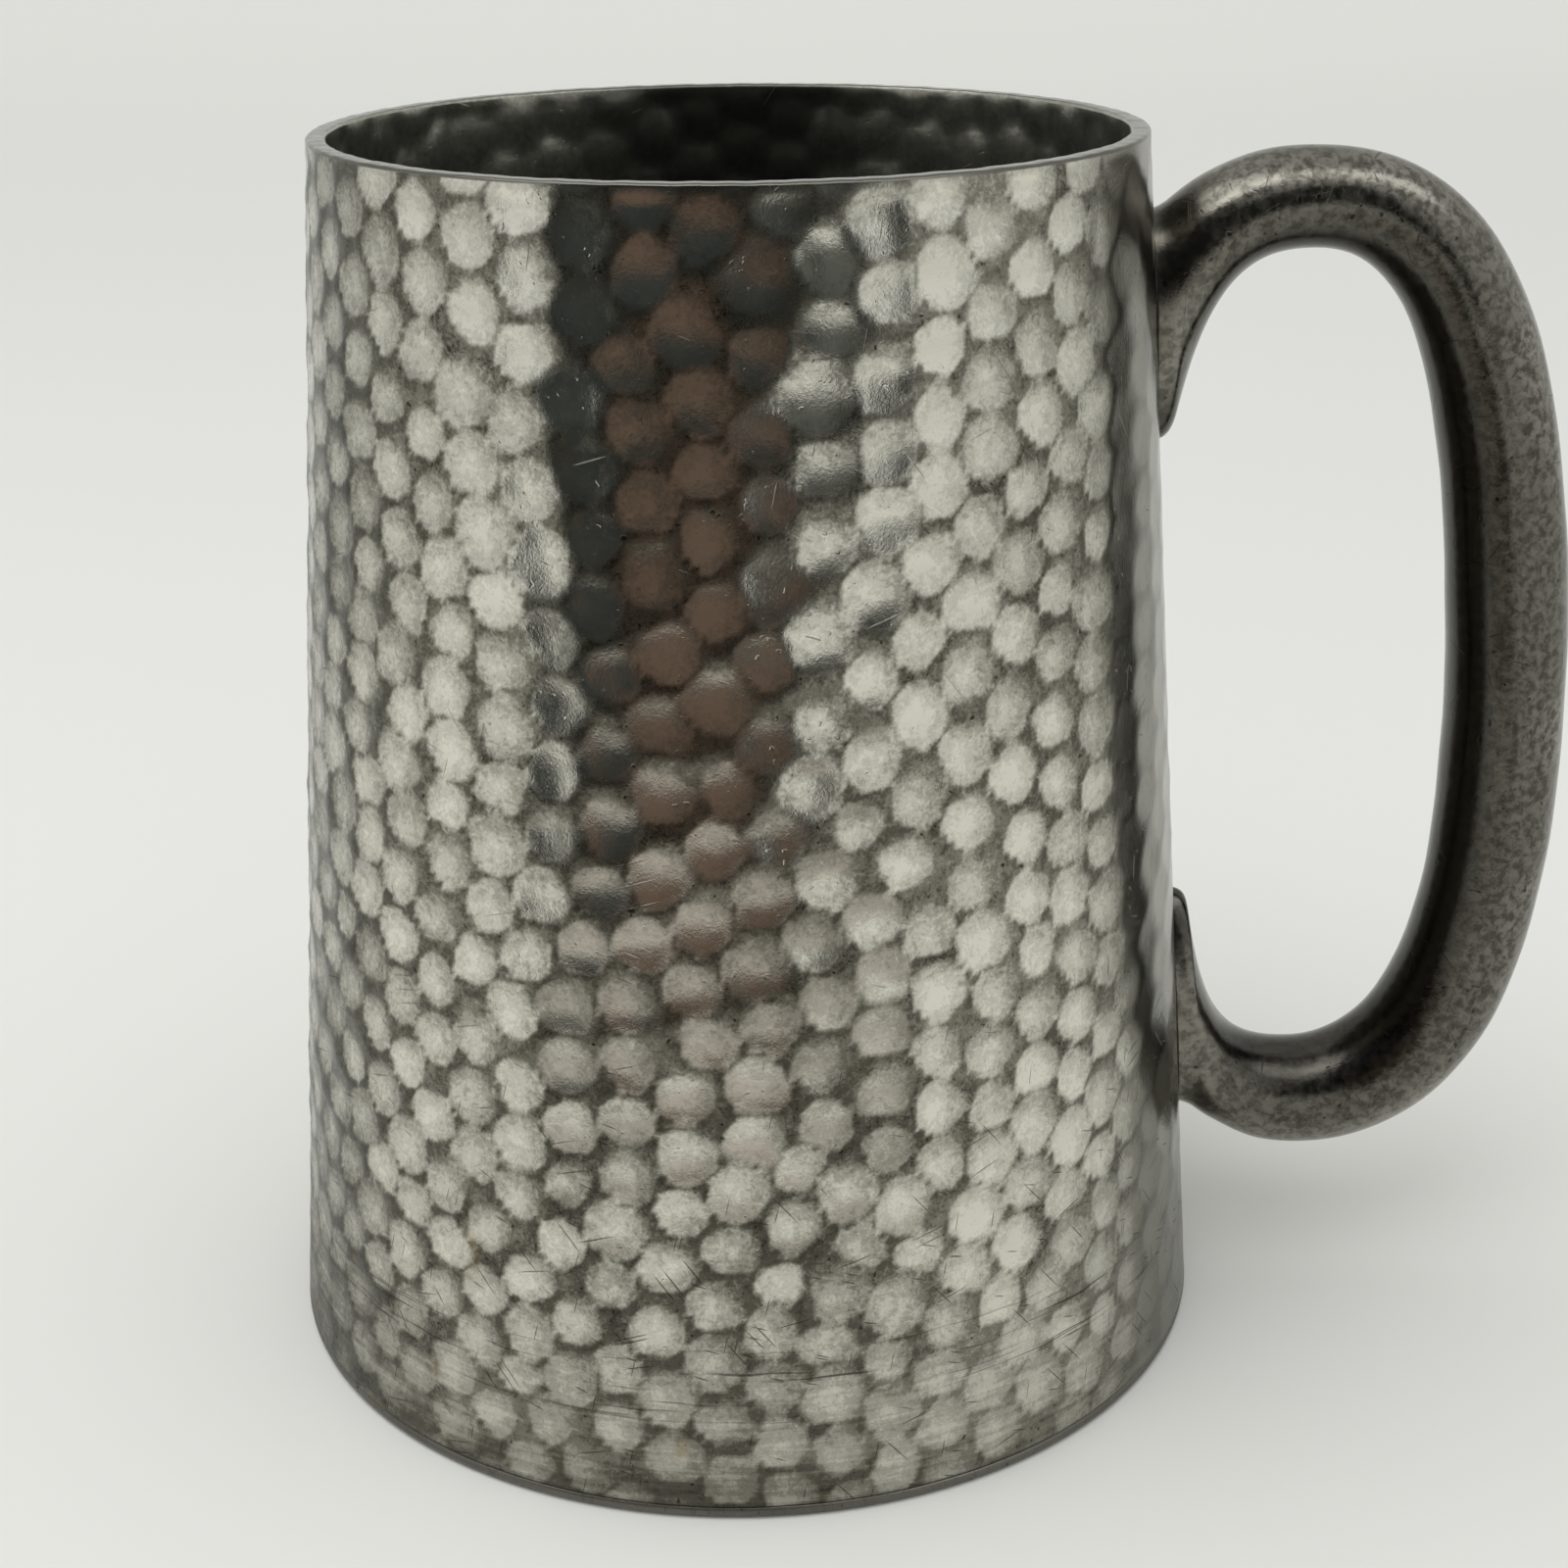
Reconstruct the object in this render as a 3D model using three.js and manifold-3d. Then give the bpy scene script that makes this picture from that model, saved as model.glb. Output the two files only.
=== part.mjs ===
// A lidless pint tankard in hammered pewter: a tapering drum stands on a round base plate, and a hollow cast
// loop handle is soldered to its wall by two tongues.
// Millimetres, +Z up. The origin is the centre of the base's underside, and the handle lies towards +X.

import * as THREE from "three";
import { mergeVertices } from "three/addons/utils/BufferGeometryUtils.js";
import Module from "manifold-3d";

// The vessel
const vesselHeight = 115.5;
const rimRadius = 37.3;
const footRadius = 45.6;
const wallThickness = 1.6;
const rimEdgeRound = 0.4;
const baseThickness = 1.2;
const baseEdgeRound = 0.7;
const baseSolderLeg = 1.6;

// The solder joints: each solder piece lies a small gap away from the curved faces that it joins
const jointGap = 0.3;
const tongueSolderThickness = 0.4;

// The handle's crown, its highest stretch: drop is measured down from the rim, and reach out from the wall
const crownDrop = 2.6;
const crownReach = 15.1;
const crownThickness = 8.8;
const crownWidth = 9.4;

// The handle's grip, where it stands furthest out
const gripHeight = 65;
const fingerRoom = 27.7;
const gripThickness = 11.4;
const gripWidth = 12.2;

// The handle's heel, its lowest stretch: rise is measured up from the underside of the base
const heelRise = 12.4;
const heelReach = 12;
const heelThickness = 10.8;
const heelWidth = 11.4;

// The tongues that lie along the wall: the upper one runs out to a thin tip, and the lower one ends bluntly
const tongueWidth = 11;
const upperTongueDrop = 7.8;
const upperTongueLength = 20.9;
const upperTipThickness = 0.3;
const lowerTongueRise = 16.8;
const lowerTongueLength = 23.6;
const lowerTipThickness = 1;

// How far from the wall each tongue's own line meets the level of the crown or the heel
const upperShoulderReach = 8.2;
const upperArmpitReach = 6;
const lowerShoulderReach = 7.6;
const lowerArmpitReach = 3.2;

// How closely a bend follows the corner that its two straight lines make: 0.55 is a circle, 1 the corner
const tongueBendFullness = 0.75;
const crownBendFullness = 0.7;
const heelBendFullness = 0.66;

const handleWall = 2;

// How finely round surfaces are cut into flat faces
const wallFacets = 96;
const roundSteps = 4;
const handleFacets = 20;
const bendSteps = 9;

const pewter = { color: 0x9c9a90, roughness: 0.36, metalness: 1 };
const darkPewter = { color: 0x5e5951, roughness: 0.42, metalness: 1 };
const greySolder = { color: 0x6f6d67, roughness: 0.5, metalness: 1 };

const wasm = await Module();
wasm.setup();

// The wall's outside radius at a height above the base's underside.
function wallRadius(height) {
  return footRadius + ((rimRadius - footRadius) * height) / vesselHeight;
}

// A solid of revolution about Z from a closed outline of [radius, height] points.
function revolved(outline) {
  const profile = outline.map(([radius, height]) => new THREE.Vector2(radius, height));
  return new THREE.LatheGeometry(profile, wallFacets).rotateX(Math.PI / 2);
}

// The points of a quarter round about [radius, height], from one angle to the next, in degrees.
function quarterRound(centreRadius, centreHeight, size, fromDegrees) {
  return Array.from({ length: roundSteps + 1 }, (_, step) => {
    const angle = THREE.MathUtils.degToRad(fromDegrees + (90 * step) / roundSteps);
    return [centreRadius + size * Math.cos(angle), centreHeight + size * Math.sin(angle)];
  });
}

function toSolid(geometry) {
  const bare = geometry.clone();
  bare.deleteAttribute("normal");
  bare.deleteAttribute("uv");
  const merged = mergeVertices(bare);
  return new wasm.Manifold(
    new wasm.Mesh({
      numProp: 3,
      vertProperties: new Float32Array(merged.attributes.position.array),
      triVerts: new Uint32Array(merged.index.array),
    }),
  );
}

function toGeometry(solid) {
  const mesh = solid.getMesh();
  const geometry = new THREE.BufferGeometry();
  geometry.setAttribute("position", new THREE.BufferAttribute(mesh.vertProperties, 3));
  geometry.setIndex(new THREE.BufferAttribute(mesh.triVerts, 1));
  geometry.computeVertexNormals();
  return geometry;
}

function part(name, geometry, finish) {
  const mesh = new THREE.Mesh(geometry, new THREE.MeshStandardMaterial(finish));
  mesh.name = name;
  return mesh;
}

// The drum's wall, from the top of the base plate to the rounded edges of the rim.
function drumGeometry() {
  const edge = Math.min(rimEdgeRound, 0.4 * wallThickness);
  const edgeHeight = vesselHeight - edge;
  const outside = wallRadius(edgeHeight);
  const inside = outside - wallThickness;
  const footOutside = wallRadius(baseThickness);
  const outline = [
    [footOutside, baseThickness],
    ...quarterRound(outside - edge, edgeHeight, edge, 0),
    ...quarterRound(inside + edge, edgeHeight, edge, 90),
    [footOutside - wallThickness, baseThickness],
    [footOutside, baseThickness],
  ];
  return revolved(outline);
}

// The base plate, whose edge carries on the line of the wall and is rounded underneath.
function basePlateGeometry() {
  const edge = Math.min(baseEdgeRound, 0.9 * baseThickness);
  const outline = [
    [0, 0],
    ...quarterRound(wallRadius(edge) - edge, edge, edge, -90),
    [wallRadius(baseThickness), baseThickness],
    [0, baseThickness],
  ];
  return revolved(outline);
}

// The fillet of solder in the corner between the wall and the plate.
function baseSolderGeometry() {
  const insideRadius = (height) => wallRadius(height) - wallThickness - jointGap;
  const top = baseThickness + baseSolderLeg;
  const outline = [
    [insideRadius(baseThickness) - baseSolderLeg, baseThickness],
    [insideRadius(baseThickness), baseThickness],
    [insideRadius(top), top],
    [insideRadius(baseThickness) - baseSolderLeg, baseThickness],
  ];
  return revolved(outline);
}

// The solid cone of the vessel's outside, grown by an offset, which cuts what is soldered to the wall.
function wallCone(offset) {
  const overrun = vesselHeight;
  const low = -overrun;
  const high = vesselHeight + overrun;
  const outline = [
    [0, low],
    [wallRadius(low) + offset, low],
    [wallRadius(high) + offset, high],
    [0, high],
  ];
  return toSolid(revolved(outline));
}

// A bend between two [reach, height] points whose end tangents meet at a corner.
function bend(start, corner, end, fullness) {
  const [from, towards, to] = [start, corner, end].map((point) => new THREE.Vector2(...point));
  const leave = from.clone().lerp(towards, fullness);
  const arrive = to.clone().lerp(towards, fullness);
  return new THREE.CubicBezierCurve(from, leave, arrive, to);
}

const solderedGap = 2 * jointGap + tongueSolderThickness;
const upperTongueReach = solderedGap + upperTipThickness;
const lowerTongueReach = solderedGap + lowerTipThickness;
const crownTop = vesselHeight - crownDrop;
const crownUnder = crownTop - crownThickness;
const heelTop = heelRise + heelThickness;
const gripReach = fingerRoom + gripThickness;
const upperTongueTop = vesselHeight - upperTongueDrop;
const upperTongueTip = upperTongueTop - upperTongueLength;
const lowerTongueTip = lowerTongueRise + lowerTongueLength;

// The handle's outer edge in the plane of the loop, from the upper tongue round to the lower one.
const outerEdge = [
  bend(
    [upperTongueReach, upperTongueTop],
    [upperShoulderReach, crownTop],
    [crownReach, crownTop],
    tongueBendFullness,
  ),
  bend([crownReach, crownTop], [gripReach, crownTop], [gripReach, gripHeight], crownBendFullness),
  bend([gripReach, gripHeight], [gripReach, heelRise], [heelReach, heelRise], heelBendFullness),
  bend(
    [heelReach, heelRise],
    [lowerShoulderReach, heelRise],
    [lowerTongueReach, lowerTongueRise],
    tongueBendFullness,
  ),
];

// The inner edge, facing the fingers, from the tip of the upper tongue to the tip of the lower one.
const innerEdge = [
  bend(
    [upperTongueReach, upperTongueTip],
    [upperArmpitReach, crownUnder],
    [crownReach, crownUnder],
    tongueBendFullness,
  ),
  bend([crownReach, crownUnder], [fingerRoom, crownUnder], [fingerRoom, gripHeight], crownBendFullness),
  bend([fingerRoom, gripHeight], [fingerRoom, heelTop], [heelReach, heelTop], heelBendFullness),
  bend(
    [heelReach, heelTop],
    [lowerArmpitReach, heelTop],
    [lowerTongueReach, lowerTongueTip],
    tongueBendFullness,
  ),
];

const widths = [tongueWidth, crownWidth, gripWidth, heelWidth, tongueWidth];

// The stations of the handle: at each, its outer and inner edge and its width across the loop.
function handleStations() {
  const stations = [];
  outerEdge.forEach((outerBend, span) => {
    for (let step = span === 0 ? 0 : 1; step <= bendSteps; step++) {
      const along = step / bendSteps;
      const eased = THREE.MathUtils.smoothstep(along, 0, 1);
      stations.push({
        outer: outerBend.getPoint(along),
        inner: innerEdge[span].getPoint(along),
        width: THREE.MathUtils.lerp(widths[span], widths[span + 1], eased),
      });
    }
  });
  return stations;
}

// A tongue's end station, moved straight in to a given reach from the wall.
function stationAt(station, reach) {
  return {
    outer: new THREE.Vector2(reach, station.outer.y),
    inner: new THREE.Vector2(reach, station.inner.y),
    width: station.width,
  };
}

// The bore's station: a wall's thickness inside the handle, and no taller than the grip's bore, so that the
// tongues stay solid towards their tips.
function boreStation({ outer, inner, width }) {
  const across = inner.clone().sub(outer);
  const thickness = across.length();
  across.normalize();
  const depth = Math.min(thickness, gripThickness) - handleWall;
  return {
    outer: outer.clone().addScaledVector(across, handleWall),
    inner: outer.clone().addScaledVector(across, depth),
    width: width - 2 * handleWall,
  };
}

// A closed skin through oval sections, each standing on the line between its outer and inner edge.
function lofted(stations) {
  const positions = [];
  for (const { outer, inner, width } of stations) {
    for (let facet = 0; facet < handleFacets; facet++) {
      const angle = (2 * Math.PI * facet) / handleFacets;
      const share = (1 + Math.cos(angle)) / 2;
      const point = inner.clone().lerp(outer, share);
      positions.push(wallRadius(point.y) + point.x, (width / 2) * Math.sin(angle), point.y);
    }
  }
  const faces = [];
  const lastRing = (stations.length - 1) * handleFacets;
  for (let facet = 0; facet < handleFacets; facet++) {
    const next = (facet + 1) % handleFacets;
    for (let ring = 0; ring < lastRing; ring += handleFacets) {
      const beyond = ring + handleFacets;
      faces.push(ring + facet, beyond + facet, beyond + next);
      faces.push(ring + facet, beyond + next, ring + next);
    }
    if (facet > 0 && next > 0) {
      faces.push(0, facet, next);
      faces.push(lastRing, lastRing + next, lastRing + facet);
    }
  }
  const geometry = new THREE.BufferGeometry();
  geometry.setAttribute("position", new THREE.Float32BufferAttribute(positions, 3));
  geometry.setIndex(faces);
  return toSolid(geometry);
}

const stations = handleStations();
const upperTongue = stations[0];
const lowerTongue = stations[stations.length - 1];
const upperRoot = stationAt(upperTongue, -tongueWidth);
const lowerRoot = stationAt(lowerTongue, -tongueWidth);

// The hollow casting, sunk into the wall's line at both ends and then cut back to leave room for the solder.
function handleGeometry() {
  const run = [upperRoot, ...stations, lowerRoot];
  const casting = lofted(run).subtract(lofted(run.map(boreStation)));
  return toGeometry(casting.subtract(wallCone(solderedGap)));
}

// The layer of solder between a tongue and the wall, with the tongue's own outline. The tongue's two stations
// are given in their order along the handle.
function tongueSolderGeometry(tongueStations) {
  const layer = lofted(tongueStations).intersect(wallCone(jointGap + tongueSolderThickness));
  return toGeometry(layer.subtract(wallCone(jointGap)));
}

const tankard = new THREE.Group();
tankard.add(
  part("body_drum", drumGeometry(), pewter),
  part("base_plate", basePlateGeometry(), pewter),
  part("base_solder_ring", baseSolderGeometry(), greySolder),
  part("handle_casting", handleGeometry(), darkPewter),
  part("upper_handle_solder", tongueSolderGeometry([upperRoot, upperTongue]), greySolder),
  part("lower_handle_solder", tongueSolderGeometry([lowerTongue, lowerRoot]), greySolder),
);

export default tankard;
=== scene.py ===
import math

import bpy
import numpy as np
from mathutils import Matrix, Vector


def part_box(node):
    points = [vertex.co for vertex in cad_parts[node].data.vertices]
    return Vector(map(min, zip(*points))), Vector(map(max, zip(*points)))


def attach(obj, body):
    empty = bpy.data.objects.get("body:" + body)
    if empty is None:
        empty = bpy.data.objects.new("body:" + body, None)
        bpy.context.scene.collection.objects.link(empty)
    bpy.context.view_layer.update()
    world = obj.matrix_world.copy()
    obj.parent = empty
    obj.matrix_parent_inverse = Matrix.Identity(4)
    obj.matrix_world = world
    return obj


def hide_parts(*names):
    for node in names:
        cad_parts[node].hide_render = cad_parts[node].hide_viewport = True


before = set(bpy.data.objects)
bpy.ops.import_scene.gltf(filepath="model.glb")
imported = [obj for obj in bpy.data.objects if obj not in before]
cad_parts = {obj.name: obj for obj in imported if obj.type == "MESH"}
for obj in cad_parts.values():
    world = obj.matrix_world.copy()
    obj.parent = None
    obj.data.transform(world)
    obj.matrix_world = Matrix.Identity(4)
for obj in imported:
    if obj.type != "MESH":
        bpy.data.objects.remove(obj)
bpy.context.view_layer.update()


# The drum is a tapering tube of sheet pewter, open at both ends, with a flat filed rim. It is planished all
# over with a small round-faced hammer, which leaves shallow hollows outside and matching bumps inside. Dark
# tarnish, deepened as painted shade, lies on the ridges between the hollows, each hollow has painted shade
# on its upper right, and the foot is rubbed nearly smooth.
mm = 0.001
drum_low, drum_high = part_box("body_drum")
vessel_height = drum_high.z
seam_height = drum_low.z
foot_radius = drum_high.y
rim_radius = 37.3 * mm
wall_thickness = 1.6 * mm
rim_edge_round = 0.35 * mm
seam_edge_round = 0.15 * mm

hollow_pitch = 5.9 * mm
hammer_face_radius = 19.0 * mm
hollow_depth = 0.25 * mm
hollow_depth_spread = 0.08 * mm
ridge_softness = 0.05 * mm
crease_softness = 0.012 * mm
tarnish_softness = 0.08 * mm
inside_relief = 1.5
disc_edge = 0.82
disc_end = 0.98
# soft_side and glance shape the painted shade in each hollow: how much further in the dark edge starts on its
# upper right, and how far left of and below the stroke its painted light is brightest.
soft_side = 0.30
glance = 0.07
front_angle = math.radians(-88)
filed_relief = 0.48

around_wall = 372
rows_outside = 167
rows_inside_upper = 38
rows_inside_lower = 52
upper_inside = 28 * mm
rows_round = 4


def wall_radius(height):
    """The outside radius of the tapering wall: a straight line from the seam to the rim."""
    share = (height - seam_height) / (vessel_height - seam_height)
    return foot_radius + (rim_radius - foot_radius) * share


def on_wall(angle, height):
    """The points of the wall's plain outside at these angles and heights, as x, y, z in the last axis."""
    radius = wall_radius(height)
    return np.stack(np.broadcast_arrays(radius * np.cos(angle), radius * np.sin(angle), height), -1)


def hammer_strokes(random):
    """Angles and heights of the hammer strokes. The wall is unrolled to a flat sector, and a lattice of
    upright staggered columns is laid on it. A gentle swirl (the curl of a few waves, so that the spacing
    stays even) bends the columns, each stroke strays a little, and close neighbours then push each other
    apart."""
    taper = math.atan((foot_radius - rim_radius) / (vessel_height - seam_height))
    column_step = 0.80 * hollow_pitch
    half_width = math.pi * foot_radius + hollow_pitch
    columns = np.arange(-math.ceil(half_width / column_step), math.ceil(half_width / column_step) + 1)
    near, far = rim_radius / math.sin(taper), foot_radius / math.sin(taper)
    rows = np.arange(-2, (far - near) / hollow_pitch * 1.2 + 2)
    column, row = (grid.ravel() for grid in np.meshgrid(columns, rows))
    across = column * column_step
    down = near * 0.98 + (row + 0.5 * (column % 2)) * hollow_pitch
    swirl_waves = ((62, 25, 2.2), (-38, 47, 2.0), (85, -70, 3.0), (24, 33, 0.9))
    swirl_across, swirl_down = np.zeros_like(across), np.zeros_like(down)
    for wave_across, wave_down, strength in swirl_waves:
        turn = random.uniform(0, 2 * math.pi)
        pace = 2 * math.pi / (np.hypot(wave_across, wave_down) * mm)
        aim = np.array((wave_across, wave_down)) / np.hypot(wave_across, wave_down)
        wave = np.cos(pace * (aim[0] * across + aim[1] * down) + turn) * strength * mm
        swirl_across += aim[1] * wave
        swirl_down -= aim[0] * wave
    stray = 0.15 * hollow_pitch
    across = across + swirl_across + random.normal(0, stray, across.shape)
    down = down + swirl_down + random.normal(0, stray, down.shape)
    from_apex = np.hypot(across, down)
    angle = np.arctan2(across, down) / math.sin(taper)
    height = seam_height + (far - from_apex) * math.cos(taper)
    kept = (np.abs(angle) <= math.pi) & (height > -0.5 * hollow_pitch)
    kept &= height < vessel_height + 0.4 * hollow_pitch
    angle, height = angle[kept] + front_angle, height[kept]
    for _ in range(12):
        place = on_wall(angle, height)
        apart = place[:, None] - place[None]
        distance = np.linalg.norm(apart, axis=-1) + 1e-9
        push = np.clip(1 - distance / (0.98 * hollow_pitch), 0, None)
        np.fill_diagonal(push, 0)
        place = place + 0.22 * hollow_pitch * (apart / distance[..., None] * push[..., None]).sum(1)
        angle, height = np.arctan2(place[:, 1], place[:, 0]), place[:, 2]
    return angle, height


def askew(angles, heights):
    """Angles and heights stirred by slow waves of a sixth of a millimetre, so that no stroke is quite
    round."""
    angle, level = angles[None], heights[:, None] / mm
    aside = 0.18 * np.sin(37 * angle + 0.69 * level) + 0.12 * np.sin(61 * angle - 0.97 * level + 1.0)
    above = 0.18 * np.sin(29 * angle - 0.76 * level + 2.0) + 0.12 * np.sin(53 * angle + 1.10 * level)
    return angle + aside * mm / foot_radius, heights[:, None] + above * mm


def hammered(angles, heights, softness):
    """The relief on a grid of angles and heights. Each stroke is a bowl, the square of the distance over
    twice the hammer face's radius, less its depth, and the surface is the soft least of all the bowls.
    Returns the relief, the ridge mask (0 in a hollow, 1 on a ridge, the greater of what the distance from
    the stroke and the nearness of the next bowl give; it starts further in on the upper right of a stroke,
    as painted shade), the painted shade mask (the distance from a place a little left of and below the
    stroke, where the painted light in the hollow is brightest), and the strokes' own tones."""
    relief, ridge, painted_hollow_shade, tone = (np.zeros((len(heights), len(angles))) for _ in range(4))
    rightward = np.stack((-np.sin(angles), np.cos(angles)), -1)
    reach = 2.2 * hollow_pitch
    band_rows = 8
    for first in range(0, len(heights), band_rows):
        band = slice(first, first + band_rows)
        level = heights[band]
        near = (stroke_place[:, 2] > level.min() - reach) & (stroke_place[:, 2] < level.max() + reach)
        points = on_wall(*askew(angles, level))
        gap = points[:, :, None] - stroke_place[near]
        bowl = (gap**2).sum(-1) / (2 * hammer_face_radius) - stroke_depth[near]
        lowest = bowl.min(-1, keepdims=True)
        share = np.exp((lowest - bowl) / softness)
        relief[band] = lowest[..., 0] - softness * np.log(share.sum(-1))
        share = np.exp((lowest - bowl) / tarnish_softness)
        weight = share / share.sum(-1, keepdims=True)
        tone[band] = (weight * stroke_tone[near]).sum(-1)
        disc = (weight * stroke_disc[near]).sum(-1)
        depth = (weight * stroke_depth[near]).sum(-1)
        from_stroke = np.sqrt(2 * hammer_face_radius * np.clip(lowest[..., 0] + depth, 0, None)) / disc
        away = (weight[..., None] * gap).sum(-2)
        aside = (away[..., :2] * rightward).sum(-1)
        above = away[..., 2]
        # Painted shade: the dark edge starts further in on the upper right of each stroke, and the painted
        # shade mask grows with the distance from a bright place a little left of and below it.
        starts = disc_edge - soft_side * np.clip((0.5 * aside + 0.85 * above) / disc, 0, 1)
        ridge[band] = np.maximum((from_stroke - starts) / (disc_end - starts), 1.4 * (1 - weight.max(-1)))
        off_bright = np.hypot(aside + glance * hollow_pitch, above + glance * hollow_pitch)
        painted_hollow_shade[band] = (off_bright / disc - 0.25) / 0.75
    return relief, np.clip(ridge, 0, 1.1), np.clip(painted_hollow_shade, 0, 1), tone


def eased(value, low, high):
    """0 below low, 1 above high, and a smooth step between them."""
    share = np.clip((value - low) / (high - low), 0, 1)
    return share * share * (3 - 2 * share)


random = np.random.default_rng(11)
stroke_angle, stroke_height = hammer_strokes(random)
stroke_place = on_wall(stroke_angle, stroke_height)
stroke_count = len(stroke_height)
stroke_depth = hollow_depth + random.uniform(-1, 1, stroke_count) * hollow_depth_spread
stroke_tone = random.uniform(0, 1, stroke_count)
stroke_disc = hollow_pitch / 2 * random.uniform(0.88, 1.12, stroke_count)
stroke_depth = stroke_depth - 0.06 * mm * (random.uniform(0, 1, stroke_count) < 0.12)


def relief_fade(height):
    """How strongly the hammering shows: rubbed down over the lowest part of the wall and close to the rim."""
    foot_wear = 0.18 + 0.82 * eased(height, seam_height + 1.5 * mm, seam_height + 15 * mm)
    return foot_wear * (0.10 + 0.90 * eased(vessel_height - height, 0.2 * mm, 1.8 * mm))


def calmed(angle):
    """How strongly the hammering shows round the wall: it was filed down on both sides of the handle, which
    is at +X."""
    from_handle = np.abs(np.arctan2(np.sin(angle), np.cos(angle)))
    return filed_relief + (1 - filed_relief) * eased(from_handle, math.radians(28), math.radians(50))


def ring_faces(rows, columns, start=0):
    """Quads between neighbouring rings of points, closed round the axis."""
    row, column = np.meshgrid(np.arange(rows - 1), np.arange(columns), indexing="ij")
    beside = (column + 1) % columns
    quads = np.stack((row * columns + column, row * columns + beside,
                      (row + 1) * columns + beside, (row + 1) * columns + column), -1)
    return quads.reshape(-1, 4) + start


def new_piece(name, points, face_sets):
    """A mesh object at the origin from an array of points and arrays of faces with equal corner counts."""
    mesh = bpy.data.meshes.new(name)
    corners = np.concatenate([faces.ravel() for faces in face_sets])
    sizes = np.concatenate([np.full(len(faces), faces.shape[1]) for faces in face_sets])
    mesh.vertices.add(len(points))
    mesh.vertices.foreach_set("co", points.astype(np.float32).ravel())
    mesh.loops.add(len(corners))
    mesh.loops.foreach_set("vertex_index", corners.astype(np.int32))
    mesh.polygons.add(len(sizes))
    mesh.polygons.foreach_set("loop_start", (np.cumsum(sizes) - sizes).astype(np.int32))
    mesh.polygons.foreach_set("loop_total", sizes.astype(np.int32))
    mesh.polygons.foreach_set("use_smooth", np.ones(len(sizes), bool))
    mesh.update(calc_edges=True)
    mesh.validate()
    piece = bpy.data.objects.new(name, mesh)
    bpy.context.scene.collection.objects.link(piece)
    return piece


def paint_points(piece, name, values):
    """One number for each point of a piece, kept as a named attribute for its material."""
    attribute = piece.data.attributes.new(name, "FLOAT", "POINT")
    attribute.data.foreach_set("value", np.asarray(values, np.float32).ravel())


def lay_out(piece, along, across):
    """A UV map in metres from two numbers for each point. Where a face crosses the join at the end of a turn,
    its far corners take the value of one turn more."""
    corners = np.zeros(len(piece.data.loops), np.int32)
    piece.data.loops.foreach_get("vertex_index", corners)
    starts = np.zeros(len(piece.data.polygons), np.int32)
    piece.data.polygons.foreach_get("loop_start", starts)
    sizes = np.diff(np.append(starts, len(corners)))
    turn = along.max() + np.diff(np.unique(along)).min()
    u = along[corners]
    widest = np.repeat(np.maximum.reduceat(u, starts), sizes)
    u = np.where(widest - u > turn / 2, u + turn, u)
    layer = piece.data.uv_layers.new(name="surface")
    layer.data.foreach_set("uv", np.stack((u, across[corners]), -1).astype(np.float32).ravel())


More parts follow.
